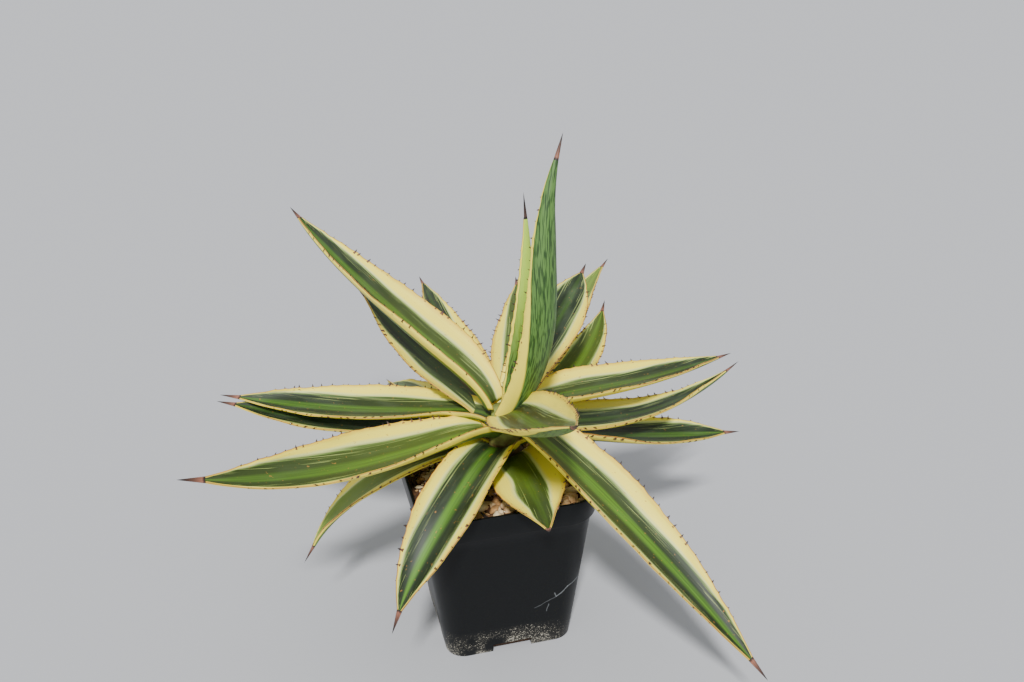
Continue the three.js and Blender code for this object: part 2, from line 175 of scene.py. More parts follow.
def leafMaterial():
    # living leaf skin, grown with a thin coat of wax: satin, with long streaks and a dull bloom
    material, tree = newMaterial("waxyAgaveLeaf")
    c, mask = leafPaint, leafMasks
    paint = {name: linear(value) for name, value in c.items() if isinstance(value, str)}
    place, flat, look, film = (
        addNode(tree, "Attribute", {"attribute_name": name}, {}, 1) for name in leafLayers)
    band, share, under = addNode(tree, "SeparateXYZ", {}, {0: place}).node.outputs
    tone, stripe, dry = addNode(tree, "SeparateXYZ", {}, {0: look}).node.outputs
    bloom = addNode(tree, "SeparateXYZ", {}, {0: film})
    streak = {}
    for name, (across, along, detail) in leafStreaks.items():
        drawn = addNode(tree, "VectorMath", times, {0: flat, 1: (across, along, 1.0)})
        streak[name] = addNode(tree, "TexNoise", {}, {"Vector": drawn, "Scale": 1.0, "Detail": detail})

    # the bands between midrib and margin, their edges moved by the streaks
    inner = addNode(tree, "Math", {"operation": "ABSOLUTE"}, {0: band})
    drift = addNode(tree, "Math", timesPlus, {0: streak["slow"], 1: c["slowDrift"], 2: c["driftStart"]})
    drift = addNode(tree, "Math", timesPlus, {0: streak["fine"], 1: c["fineDrift"], 2: drift})
    inside = addNode(tree, "MapRange", {}, {0: inner, **mask["inside"]})
    bent = addNode(tree, "Math", timesPlus, {0: drift, 1: inside, 2: inner})
    stops = [(place, c[name]) for place, name in leafBands]
    face = addNode(tree, "ValToRGB", {"stops": stops}, {0: bent})
    isGreen = addNode(tree, "MapRange", soft, {0: bent, **mask["green"]})
    # light midrib, then strands, hairlines and scars: lengthwise, palest where green meets cream
    meeting = addNode(tree, "Math", {"operation": "COMPARE"},
                      {0: bent, 1: c["hairlinePlace"], 2: c["hairlineReach"]})
    layers = (
        ("midrib", soft, bent, stripe, "stripe"), ("strand", {}, streak["fine"], isGreen, "strand"),
        ("hairline", {}, streak["hair"], meeting, "hairline"), ("scar", {}, streak["speck"], 1.0, "spot"))
    for name, settings, source, limit, colour in layers:
        drawn = addNode(tree, "MapRange", settings, {0: source, **mask[name]})
        drawn = addNode(tree, "Math", times, {0: drawn, 1: limit})
        face = addNode(tree, "Mix", colours, {0: drawn, 6: face, 7: paint[colour]}, 2)

    # lower face: mid green with dark dashes, and the same cream margins
    dashes = addNode(tree, "MapRange", {}, {0: streak["dash"], **mask["dash"]})
    back = addNode(tree, "Mix", colours, {0: dashes, 6: paint["under"], 7: paint["dash"]}, 2)
    creamPart = addNode(tree, "MapRange", soft, {0: bent, **mask["creamBelow"]})
    back = addNode(tree, "Mix", colours, {0: creamPart, 6: back, 7: paint["cream"]}, 2)
    below = addNode(tree, "Math", {"operation": "GREATER_THAN"}, {0: under, 1: 0.5})
    skin = addNode(tree, "Mix", colours, {0: below, 6: face, 7: back}, 2)

    # young tissue is lime green, wax lies in dull patches, and the rim of the blade is horn
    young = addNode(tree, "Math", times, {0: tone, 1: isGreen})
    young = addNode(tree, "Math", times, {0: young, 1: c["limeStrength"]})
    veil = addNode(tree, "MapRange", soft, {0: streak["wax"], **mask["wax"]})
    veil = addNode(tree, "Math", times, {0: veil, 1: bloom})
    onCream = addNode(tree, "MapRange", {}, {0: isGreen, 3: c["veilOnCream"]})
    veil = addNode(tree, "Math", times, {0: veil, 1: onCream})
    rim = addNode(tree, "MapRange", {}, {0: inner, **mask["rim"]})
    breaks = addNode(tree, "MapRange", {}, {0: streak["slow"], **mask["rimBreaks"]})
    rim = addNode(tree, "Math", times, {0: rim, 1: breaks})
    paper = addNode(tree, "Mix", colours, {0: streak["fine"], 6: paint["dry"], 7: paint["dryDark"]}, 2)
    dead = addNode(tree, "Math", {**timesPlus, "use_clamp": True},
                   {0: streak["fine"], 1: c["dryStreaks"], 2: c["dryFloor"]})
    dead = addNode(tree, "Math", times, {0: dead, 1: dry})
    over = ((young, paint["lime"]), (veil, paint["bloom"]), (rim, paint["margin"]), (dead, paper))
    for share, colour in over:
        skin = addNode(tree, "Mix", colours, {0: share, 6: skin, 7: colour}, 2)

    ridge = addNode(tree, "Math", timesPlus, {0: streak["hair"], 1: c["hairRidge"], 2: streak["fine"]})
    rough = addNode(tree, "Math", timesPlus, {0: streak["wax"], 1: c["waxRoughness"], 2: c["roughness"]})
    endMaterial(tree, c, skin, rough, ridge)
    return material


# From root to point, and the streaks of the grain to the millimetre across and along
hornPaint = {"colours": ((0.2, "#9c6650"), (0.6, "#5c3d30"), (1.0, "#1f1714")), "grain": (2.0, 0.3, 1.0),
             "grainShift": 0.4, "roughness": 0.5, "gloss": 0.5, "bump": 0.1, "bumpStrength": 0.4}


def hornMaterial():
    # teeth and spines: dead horn that grew dry, dull, tan-pink at the root and nearly black at the point
    material, tree = newMaterial("dryHornSpine")
    place, flat = (addNode(tree, "Attribute", {"attribute_name": name}, {}, 1) for name in leafLayers[:2])
    reach = addNode(tree, "SeparateXYZ", {}, {0: place}, 1)
    drawn = addNode(tree, "VectorMath", times, {0: flat, 1: hornPaint["grain"]})
    grain = addNode(tree, "TexNoise", {}, {"Vector": drawn, "Scale": 1.0})
    shifted = addNode(tree, "Math", timesPlus, {0: grain, 1: hornPaint["grainShift"], 2: reach})
    colour = addNode(tree, "ValToRGB", {"stops": hornPaint["colours"]}, {0: shifted})
    endMaterial(tree, hornPaint, colour, hornPaint["roughness"], grain)
    return material


mergeGap = 0.002  # points closer than this are one, in millimetres


# Merges the seam of a wrapped grid and fills its two ends
def closeSkin(bm):
    bmesh.ops.remove_doubles(bm, verts=bm.verts, dist=mergeGap)
    bmesh.ops.holes_fill(bm, edges=[e for e in bm.edges if e.is_boundary], sides=0)
    bmesh.ops.recalc_face_normals(bm, faces=bm.faces)


# A closed skin: a grid whose columns go round and whose rows go along, put in place by a function
def wrapGrid(around, rows, shape):
    bm = bmesh.new()
    bmesh.ops.create_grid(bm, x_segments=around, y_segments=rows, size=0.5)
    for v in bm.verts:
        column = round((v.co.x + 0.5) * around) % around
        row = round((v.co.y + 0.5) * rows)
        v.co = shape(column, row)
    closeSkin(bm)
    return bm


def meshOf(bm, name):
    mesh = bpy.data.meshes.new(name)
    bm.to_mesh(mesh)
    bm.free()
    return mesh


# The same mesh in a fresh bmesh, whose order has no gaps left by merged points
def settled(bm):
    draft = meshOf(bm, "draft")
    fresh = bmesh.new()
    fresh.from_mesh(draft)
    bpy.data.meshes.remove(draft)
    return fresh


# Turns a finished bmesh to metres and makes an object that dresses a node of the frame
def finishObject(bm, name, node, slot, *materials):
    for v in bm.verts:
        v.co *= mm
    mesh = meshOf(bm, name)
    for polygon in mesh.polygons:
        polygon.use_smooth = True
    for material in materials:
        mesh.materials.append(material)
    obj = bpy.data.objects.new(name, mesh)
    bpy.context.scene.collection.objects.link(obj)
    if node:
        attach(obj, "root")
        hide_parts(node)
    return obj


# Leaves: the same forms as the CAD leaves, with fine sections and all their teeth
stem = {"x": 6.0, "y": 0.0, "radius": 8.5, "topRadius": 6.0,
        "foot": 58.0, "shoulder": 108.0, "top": 120.0}

blade = {
    "swellPower": 1.1, "tipShare": 0.05, "taperPower": 1.6, "baseThickness": 3.4, "tipThickness": 1.3,
    "marginThickness": 0.8, "marginRound": 0.4, "bellyPower": 1.8, "neckLength": 9.0, "tipFold": 60.0,
    "turnPower": 1.5, "step": 1.0, "upperColumns": 30, "lowerColumns": 14, "rows": 84, "crowding": 1.1,
    "marginCrowding": 0.35, "spineRows": 9, "spinePower": 0.9,
    "marginWave": 0.6, "waveLength": 9.0,  # how far the margin wanders in and out, and over what length
    "marginLift": 1.1, "liftLength": 22.0,  # and up and down
    "waveGrip": 6, "waveBegins": (0.03, 0.15), "waveEnds": (0.85, 1.0),  # how near the margin it stays
    "greenEdge": 0.58,  # where in the paint's bands green ends and cream starts
    "faceEdge": 0.96,  # and where the face ends and the rounded margin starts
    "creamFade": 0.9, "creamDrift": 0.25, "driftsAlong": 4,  # how the cream margin narrows and wanders
    "toneRun": (0.2, 0.8),  # where the tone goes over from that of the base to that of the tip
    "dryRim": 0.6,  # how far out a dry patch is whole
}

teeth = {"spacing": 5.2, "length": 2.1, "halfWidth": 0.75, "halfThickness": 0.42, "root": 0.6,
         "lean": 1.1, "first": 0.09, "last": 0.90, "stagger": 0.3, "sizes": (0.6, 1.1), "seed": 23,
         "darkness": 0.15, "mound": 0.4, "moundLength": 1.5, "moundReach": 3, "baseSize": 0.8,
         "baseRun": (0.1, 0.25), "tipSize": 0.6, "tipRun": (0.75, 0.92), "around": 6, "rows": 4,
         "taper": 0.8, "flare": 0.5, "flarePower": 4, "pointWidth": 0.02}

# cream is the share of each half face that the cream margin takes, - side first, and fade says between
# which shares of the length it narrows. tone is how lime the green is, at base and tip, stripe how clear
# the midrib is and bloom how much wax lies on it. dry lists papery patches: place along, side and size.
usual = {"width": 31, "base": 0.42, "widest": 0.45, "sweep": 0, "roll": 0, "twist": 0, "fold": 28,
         "neck": 40, "droop": 1, "seat": 7, "spine": 12, "cream": (0.4, 0.4), "fade": (0.5, 0.97),
         "tone": (0.0, 0.0), "stripe": 0.6, "bloom": 0.4, "dry": (), "horn": 0.0}

leaves = [
    {"name": "central_spear", "azimuth": 308, "length": 99, "width": 13, "widest": 0.38,
     "height": 120.5, "seat": 1, "rise": 69, "bend": 27, "neck": 0, "fold": 60, "cream": (0.1, 0.1),
     "fade": (0.0, 0.3), "tone": (0.0, 0.95), "stripe": 0.2, "bloom": 0.0, "horn": 0.55},
    {"name": "leaf_01", "azimuth": 301, "length": 137, "width": 21, "base": 0.85, "widest": 0.32,
     "height": 117, "seat": 5, "rise": 49, "bend": 63, "neck": 10, "sweep": -88, "roll": 1, "twist": 50,
     "fold": 67, "cream": (0.56, 0.2), "fade": (0.1, 0.75), "stripe": 0.3, "bloom": 0.2},
    {"name": "leaf_02", "azimuth": 270, "length": 131, "width": 35, "base": 0.5, "widest": 0.36,
     "height": 119, "rise": 12, "bend": 22, "sweep": -7, "roll": 22, "twist": -16, "fold": 40,
     "cream": (0.34, 0.44), "tone": (0.0, 0.1), "stripe": 0.7, "bloom": 1.1},
    {"name": "leaf_03", "azimuth": 137, "length": 152, "width": 37, "base": 0.5, "widest": 0.28,
     "height": 120, "rise": 31, "bend": -10, "sweep": -25, "roll": 11, "fold": 56,
     "cream": (0.42, 0.26), "tone": (0.08, 0.0), "stripe": 0.8, "bloom": 0.3},
    {"name": "leaf_04", "azimuth": 8, "length": 127, "width": 33, "base": 0.5, "widest": 0.33,
     "height": 116, "rise": -4, "bend": 2, "sweep": 16, "fold": 42, "tone": (0.05, 0.0), "stripe": 0.5,
     "bloom": 0.5},
    {"name": "leaf_05", "azimuth": 44, "length": 103, "width": 32, "base": 0.5, "widest": 0.5,
     "height": 115, "rise": 28, "bend": -15, "sweep": 14, "roll": -5, "twist": 18,
     "cream": (0.34, 0.12), "stripe": 0.35, "bloom": 0.6, "dry": ((0.1, -0.6, 0.14),)},
    {"name": "leaf_06", "azimuth": 146, "length": 140, "width": 33, "base": 0.5, "widest": 0.42,
     "height": 114, "rise": -15, "bend": 19, "sweep": 8, "roll": 3, "twist": -28, "fold": 37,
     "cream": (0.38, 0.22), "tone": (0.05, 0.0), "stripe": 0.8},
    {"name": "leaf_07", "azimuth": 304, "length": 153, "width": 34, "base": 0.75, "widest": 0.35,
     "height": 113, "rise": -22, "bend": -18, "sweep": 5, "roll": -7, "twist": 30, "fold": 50,
     "cream": (0.24, 0.44), "tone": (0.06, 0.0), "stripe": 1.0, "bloom": 0.2},
    {"name": "leaf_08", "azimuth": 68, "length": 119, "width": 25, "height": 112, "rise": 11,
     "bend": -3, "sweep": 10, "cream": (0.45, 0.45), "tone": (0.2, 0.1)},
    {"name": "leaf_09", "azimuth": 198, "length": 143, "width": 36, "base": 0.55, "widest": 0.36,
     "height": 109, "rise": -8, "bend": 30, "sweep": 5, "roll": 11, "twist": -62, "fold": 52,
     "cream": (0.34, 0.26), "tone": (0.12, 0.05), "stripe": 0.7, "bloom": 0.2},
    {"name": "leaf_10", "azimuth": 2, "length": 128, "base": 0.5, "widest": 0.4, "height": 108,
     "rise": -19, "bend": 34, "sweep": 24, "roll": 9, "twist": -42, "fold": 30, "cream": (0.42, 0.42),
     "stripe": 0.3, "bloom": 0.6},
    {"name": "leaf_11", "azimuth": 121, "length": 111, "base": 0.5, "widest": 0.4, "height": 109,
     "rise": 12, "bend": 11, "sweep": -6, "cream": (0.34, 0.42), "tone": (0.05, 0.0), "stripe": 0.2,
     "bloom": 0.3, "dry": ((0.22, -0.5, 0.12),)},
    {"name": "leaf_12", "azimuth": 234, "length": 103, "base": 0.75, "widest": 0.49, "height": 101,
     "rise": 0, "bend": -65, "droop": 1.3, "sweep": -30, "roll": 3, "twist": -35, "fold": 50,
     "cream": (0.3, 0.28), "stripe": 1.0},
    {"name": "leaf_13", "azimuth": 54, "length": 152, "width": 28, "height": 107, "rise": 10, "bend": 1,
     "sweep": -3, "roll": -8, "twist": -7, "cream": (0.3, 0.34), "tone": (0.3, 0.3)},
    {"name": "leaf_14", "azimuth": 149, "length": 143, "width": 32, "widest": 0.48, "height": 102,
     "rise": -9, "bend": 13, "roll": 5, "twist": -30, "fold": 34, "cream": (0.26, 0.26), "stripe": 0.4},
    {"name": "leaf_15", "azimuth": 38, "length": 119, "width": 26, "height": 101, "rise": 3, "bend": 12,
     "sweep": 25, "cream": (0.34, 0.2), "tone": (0.22, 0.12), "stripe": 0.5, "bloom": 0.1},
    {"name": "leaf_16", "azimuth": 98, "length": 143, "width": 28, "height": 100, "rise": 17,
     "bend": -11, "sweep": -7, "roll": 10, "twist": 8, "cream": (0.48, 0.3), "stripe": 0.3},
    {"name": "leaf_17", "azimuth": 3, "length": 124, "width": 32, "widest": 0.47, "height": 101,
     "rise": -16, "bend": 5, "sweep": 10, "roll": -12, "twist": 36, "fold": 32, "cream": (0.26, 0.26),
     "stripe": 0.7},
    {"name": "leaf_18", "azimuth": 182, "length": 108, "width": 29, "height": 97, "rise": 6,
     "bend": -65, "sweep": -10, "fold": 27, "cream": (0.46, 0.46), "tone": (0.0, 0.35), "stripe": 0.15,
     "bloom": 0.5},
    {"name": "leaf_19", "azimuth": 117, "length": 124, "width": 28, "height": 92.5, "rise": 11,
     "bend": -37, "sweep": -22, "roll": 10, "cream": (0.6, 0.3), "tone": (0.1, 0.1)},
    {"name": "leaf_20", "azimuth": 275, "length": 63, "width": 33, "base": 0.85, "widest": 0.5,
     "height": 96, "rise": -5, "bend": 0, "neck": 30, "sweep": -10, "roll": 10, "fold": 22, "spine": 2,
     "cream": (0.5, 0.52), "fade": (0.75, 1.0), "tone": (0.2, 0.05), "stripe": 0.2, "bloom": 0.2},
]


# The midline of a leaf: its place and the three directions of its face, read at any share of its length
def midline(leaf):
    count = math.ceil(leaf["length"] / blade["step"])
    length = leaf["length"]

    def facing(share):
        neck = leaf["neck"] * math.exp(-share * length / blade["neckLength"])
        slope = math.radians(leaf["rise"] + leaf["bend"] * share ** leaf["droop"] + neck)
        turn = share ** blade["turnPower"]
        heading = math.radians(leaf["azimuth"] + leaf["sweep"] * turn)
        level = math.cos(slope)
        along = Vector((level * math.cos(heading), level * math.sin(heading), math.sin(slope)))
        across = Vector((-math.sin(heading), math.cos(heading), 0))
        across.rotate(Matrix.Rotation(math.radians(leaf["roll"] + leaf["twist"] * turn), 3, along))
        return along, across, along.cross(across)

    start = math.radians(leaf["azimuth"])
    point = Vector((stem["x"] + leaf["seat"] * math.cos(start),
                    stem["y"] + leaf["seat"] * math.sin(start), leaf["height"]))
    places = []
    for i in range(count + 1):
        places.append((point.copy(), *facing(i / count)))
        point += facing((i + 0.5) / count)[0] * (length / count)

    def at(share):
        spot = min(max(share, 0), 1) * count
        low = min(int(spot), count - 1)
        return [a.lerp(b, spot - low) for a, b in zip(places[low], places[low + 1])]

    return at


def widthAt(leaf, share):
    if share < leaf["widest"]:
        swell = math.sin(math.pi / 2 * share / leaf["widest"]) ** blade["swellPower"]
        return leaf["width"] * mix(leaf["base"], 1, swell)
    taper = ((share - leaf["widest"]) / (1 - leaf["widest"])) ** blade["taperPower"]
    return leaf["width"] * mix(1, blade["tipShare"], taper)


# A point of the upper face, with the directions out across it and away from it
def facePoint(leaf, place, share, side):
    point, along, across, up = place
    towardsTip = max(0.0, 2 * share - 1) ** 2
    fold = math.radians(mix(leaf["fold"], blade["tipFold"], towardsTip))
    half = widthAt(leaf, share) / 2
    angle = fold * side
    outward = (across * math.cos(angle) + up * math.sin(angle)) * (1 if side >= 0 else -1)
    normal = up * math.cos(angle) - across * math.sin(angle)
    spot = point + across * (half * math.sin(angle) / fold) + up * (half * (1 - math.cos(angle)) / fold)
    return spot, outward, normal, half


# Columns round a leaf's section: out over the upper face, round the margin, back along the lower. Each
# is a place across, from -1 to 1, and a depth: 0 on the upper face, 0.5 on the margin, 1 on the lower.
def sectionColumns():
    columns = []
    for i in range(blade["upperColumns"] + 1):
        side = 2 * i / blade["upperColumns"] - 1
        columns.append((mix(side, math.sin(side * math.pi / 2), blade["marginCrowding"]), 0.0))
    columns.append((1.0, 0.5))
    for i in range(blade["lowerColumns"] + 1):
        columns.append((1 - 2 * i / blade["lowerColumns"], 1.0))
    columns.append((-1.0, 0.5))
    return columns


# Where a place on the face lies among the paint's bands, which are the same on every leaf. Here and
# below, index times an odd factor gives each leaf noise of its own.
def bandOf(leaf, index, side, share, depth):
    if depth == 0.5:
        return 1.0
    cream = leaf["cream"][0 if side < 0 else 1] * (1 - blade["creamFade"] * ease(share, *leaf["fade"]))
    spot = Vector((share * blade["driftsAlong"], math.copysign(2.0, side), index * 5.7))
    cream *= 1 + blade["creamDrift"] * noise.noise(spot)
    edge = 1 - cream
    reach = abs(side)
    if reach < edge:
        return blade["greenEdge"] * reach / edge
    return mix(blade["greenEdge"], blade["faceEdge"], (reach - edge) / max(cream, 0.01))


# Each tooth's side, share of the length, lean and size
def toothPlaces(leaf, rng):
    places = []
    run = (teeth["last"] - teeth["first"]) * leaf["length"]
    for side in (-1, 1):
        count = max(3, round(run / teeth["spacing"]))
        for i in range(count):
            along = (i + 0.5 + rng.uniform(-teeth["stagger"], teeth["stagger"])) / count
            share = mix(teeth["first"], teeth["last"], along)
            places.append((side, share, rng.uniform(-1, 1), rng.uniform(*teeth["sizes"])))
    return places


# One tooth: a straight horn point with a broad root, pointing along +Y; addTeeth bends its point along X
def toothMesh():  # of the second material, horn
    around, rows = teeth["around"], teeth["rows"]

    def shape(column, row):
        angle = 2 * math.pi * column / around
        height = row / rows
        flare = 1 + teeth["flare"] * (1 - height) ** teeth["flarePower"]
        width = (1 - height) ** teeth["taper"] * flare + teeth["pointWidth"]
        return Vector((math.cos(angle) * width, height, math.sin(angle) * width))

    bm = wrapGrid(around, rows, shape)
    for face in bm.faces:
        face.material_index = 1
    return meshOf(bm, "tooth")


# How the margin wanders: in and out, up and down, and out to a low mound under each tooth
def marginShift(leaf, index, places, share, side, outward, normal):
    run = share * leaf["length"]
    wander = noise.noise(Vector((run / blade["waveLength"], side * 3, index * 7.3)))
    lift = noise.noise(Vector((run / blade["liftLength"], side * 3, index * 3.1)))
    shift = outward * blade["marginWave"] * wander + normal * blade["marginLift"] * lift
    for toothSide, toothShare, _, size in places:
        away = (share - toothShare) * leaf["length"] / teeth["moundLength"]
        if toothSide * side > 0 and abs(away) < teeth["moundReach"]:
            shift += outward * teeth["mound"] * size * math.exp(-away * away)
    return shift


def dryness(leaf, share, side):
    dry = 0.0
    for dryShare, drySide, size in leaf["dry"]:
        gap = math.hypot((share - dryShare) / size, (side - drySide) / (size * 3))
        dry = max(dry, 1 - ease(gap, blade["dryRim"], 1.0))
    return dry


# The blade and its terminal spine as one skin, which carries the places that the paint reads
def growBlade(leaf, index, at, places):
    columns = sectionColumns()
    around, rows = len(columns), blade["rows"] + blade["spineRows"]
    bm = bmesh.new()
    placeLayer, flatLayer, lookLayer, filmLayer = (
        bm.verts.layers.float_vector.new(name) for name in leafLayers)
    bmesh.ops.create_grid(bm, x_segments=around, y_segments=rows, size=0.5)
    stations = [min(1.0, row / blade["rows"]) ** blade["crowding"] for row in range(rows + 1)]
    spots = [at(share) for share in stations]
    for v in bm.verts:
        column = round((v.co.x + 0.5) * around) % around
        row = round((v.co.y + 0.5) * rows)
        side, depth = columns[column]
        share, place = stations[row], spots[row]
        spot, outward, normal, half = facePoint(leaf, place, share, side)
        middle = mix(blade["baseThickness"], blade["tipThickness"], share)
        thickness = mix(middle, blade["marginThickness"], abs(side) ** blade["bellyPower"])
        weight = abs(side) ** blade["waveGrip"] * ease(share, *blade["waveBegins"])
        weight *= 1 - ease(share, *blade["waveEnds"])
        if weight > 0.01:
            spot = spot + marginShift(leaf, index, places, share, side, outward, normal) * weight
        v.co = spot - normal * thickness * depth
        if row <= blade["rows"]:
            if depth == 0.5:
                v.co += outward * blade["marginThickness"] * blade["marginRound"]
            v[placeLayer] = Vector((bandOf(leaf, index, side, share, depth), share, depth))
        else:
            reach = (row - blade["rows"]) / blade["spineRows"]
            tip = place[0] - place[3] * blade["tipThickness"] / 2
            v.co = tip + (v.co - tip) * (1 - reach) ** blade["spinePower"]
            v.co += place[1] * leaf["spine"] * reach
            v[placeLayer] = Vector((0, mix(leaf["horn"], 1, reach), 0))
        v[flatLayer] = Vector((side * half, share * leaf["length"], index * 11.7))
        tone = mix(*leaf["tone"], ease(share, *blade["toneRun"]))
        v[lookLayer] = Vector((tone, leaf["stripe"], dryness(leaf, share, side)))
        v[filmLayer] = Vector((leaf["bloom"], 0, 0))
        v.index = row  # read below, to tell the faces of the spine
    for face in bm.faces:
        if min(v.index for v in face.verts) >= blade["rows"]:
            face.material_index = 1
    closeSkin(bm)
    return bm


def addTeeth(bm, leaf, index, at, places, tooth):
    placeLayer, flatLayer = (bm.verts.layers.float_vector[name] for name in leafLayers[:2])
    for side, share, lean, size in places:
        place = at(share)
        spot, outward, normal, half = facePoint(leaf, place, share, side)
        spot = spot - normal * blade["marginThickness"] / 2
        size *= mix(teeth["baseSize"], 1.0, ease(share, *teeth["baseRun"])) * mix(
            1.0, teeth["tipSize"], ease(share, *teeth["tipRun"]))
        axis = outward * (teeth["length"] + teeth["root"]) * size
        thick = normal * side * teeth["halfThickness"] * size
        basis = Matrix((place[1] * teeth["halfWidth"] * size, axis, thick)).transposed()
        start = len(bm.verts)
        bm.from_mesh(tooth)
        bm.verts.ensure_lookup_table()
        for v in bm.verts[start:]:
            height = v.co.y
            bent = v.co + Vector((lean * teeth["lean"] * height ** 2, 0, 0))
            v.co = spot - outward * teeth["root"] * size + basis @ bent
            v[placeLayer] = Vector((0, mix(teeth["darkness"], 1, height), 0))
            v[flatLayer] = Vector((bent.x, share * leaf["length"] + height, index))


def makeLeaves():
    leafSkin, horn = leafMaterial(), hornMaterial()
    tooth = toothMesh()
    for index, entry in enumerate(leaves):
        leaf = {**usual, **entry}
        at = midline(leaf)
        places = toothPlaces(leaf, random.Random(teeth["seed"] + index))
        bm = settled(growBlade(leaf, index, at, places))
        addTeeth(bm, leaf, index, at, places, tooth)
        finishObject(bm, leaf["name"] + "_grown", leaf["name"], "leaf", leafSkin, horn)
    bpy.data.meshes.remove(tooth)


makeLeaves()
print("leaves grown")

# Stem: the short trunk, with the low rings old leaf seats leave, pale above, dry brown and painted shade
# below
stemLook = {"around": 48, "rows": 90, "ringDepth": 0.25, "ringSpacing": 3.4, "inset": 0.1,
            "colours": ((0.1, "#3b2a18"), (0.4, "#6f5a2c"), (0.8, "#8f9a4c")),
            "brownAndShadeTop": 92.0, "greenFoot": 112.0, "roughness": 0.8, "gloss": 0.5,
            "fibre": 2.4, "fibreShift": 0.9, "bump": 0.3, "bumpStrength": 0.6}


def stemMaterial():
    # living fibrous tissue, matt: olive where the leaves clasp it, near the soil dry brown and painted
    # shade
    material, tree = newMaterial("fibrousAgaveStem")
    where = addNode(tree, "TexCoord", {}, {}, objectPlace)
    height = addNode(tree, "SeparateXYZ", {}, {0: where}, 2)
    fibre = addNode(tree, "TexNoise", {}, {
        "Vector": where, "Scale": 1 / (stemLook["fibre"] * mm), "Detail": 4.0})
    # painted shade: darker towards the soil, for the shade under the leaves as well as for dry tissue
    up = addNode(tree, "MapRange", {}, {
        0: height, 1: stemLook["brownAndShadeTop"] * mm, 2: stemLook["greenFoot"] * mm})
    up = addNode(tree, "Math", minus, {0: up, 1: 0.5})
    up = addNode(tree, "Math", timesPlus, {0: fibre, 1: stemLook["fibreShift"], 2: up})
    colour = addNode(tree, "ValToRGB", {"stops": stemLook["colours"]}, {0: up})
    endMaterial(tree, stemLook, colour, stemLook["roughness"], fibre)
    return material


def makeStem():
    def shape(column, row):
        height = mix(stem["foot"], stem["top"], row / stemLook["rows"])
        taper = ease(height, stem["shoulder"], stem["top"])
        radius = mix(stem["radius"], stem["topRadius"], taper) - stemLook["inset"]
        wave = math.cos(2 * math.pi * height / stemLook["ringSpacing"])
        radius -= stemLook["ringDepth"] * (0.5 + 0.5 * wave)
        angle = 2 * math.pi * column / stemLook["around"]
        return Vector((stem["x"] + radius * math.cos(angle),
                       stem["y"] + radius * math.sin(angle), height))

    bm = wrapGrid(stemLook["around"], stemLook["rows"], shape)
    finishObject(bm, "stemTrunk", "stem", "stem", stemMaterial())


makeStem()
print("stem made")

# Pot: injection moulded polypropylene with 1.2 mm walls, a stepped rim and a recess under each side
pot = {
    "rimWidth": 89.0, "rimHeight": 12.0, "rimFlare": 1.5, "rimOverhang": 1.8, "rimCorner": 17.5,
    "height": 88.0, "footWidth": 64.5, "footCorner": 9.5, "wall": 1.2, "floor": 1.6, "cornerSteps": 12,
    "sideSteps": 6, "bodySteps": 12, "edge": 0.4, "edgeEase": 0.3, "rimCrease": 0.05,
    "recessWidth": 20.0, "recessHeight": 4.5, "recessDepth": 6.0, "cutPast": 10.0, "mouthPast": 1.0,
    "drainRadius": 3.5, "drainReach": 18.0, "drainRun": 10.0, "sharpAngle": 30,
}

potPaint = {
    "colours": ((0.35, "#050607"), (0.75, "#0d1012")), "dust": "#b8b2a2", "thread": "#84888a",
    "roughness": 0.42, "dustRoughness": 0.4, "gloss": 0.22, "bump": 0.1, "bumpStrength": 0.15,
    "dustHeight": 16.0, "flake": 0.9, "flakeSquash": (1.0, 1.0, 1.8), "cloud": 14.0, "front": -28.0,
    "film": 0.10, "wander": (1.4 * mm, 0.0, 1.4 * mm), "wanderScale": 260.0, "threadFade": (1.6, 0.6),
}

# Ranges that place the dust: from 1 to 2, turned to a range from 3 to 4
dustMasks = {
    "left": {1: 0.03, 2: -0.005, 3: 0.25, 4: 1.0}, "clouds": {1: 0.38, 2: 0.6},
    "level": {3: 0.64, 4: 0.40}, "fleck": {1: 0.0, 2: 0.05, 4: 0.85}, "start": {2: 0.12},
}

# Dried root threads on the front: each runs straight between two places, (x, height) in millimetres
threads = [
    {"from": (10.9, 24.8), "to": (22.1, 30.3), "width": 0.16, "strength": 0.35},
    {"from": (22.1, 30.3), "to": (27.7, 35.3), "width": 0.24, "strength": 0.65},
    {"from": (27.7, 35.3), "to": (33.2, 37.3), "width": 0.24, "strength": 0.65},
    {"from": (33.2, 37.3), "to": (38.1, 37.7), "width": 0.20, "strength": 0.55},
    {"from": (33.2, 37.3), "to": (36.7, 33.6), "width": 0.16, "strength": 0.35},
    {"from": (17.2, 21.6), "to": (18.2, 26.0), "width": 0.20, "strength": 0.40},
    {"from": (22.1, 30.3), "to": (21.0, 32.6), "width": 0.25, "strength": 0.50},
]


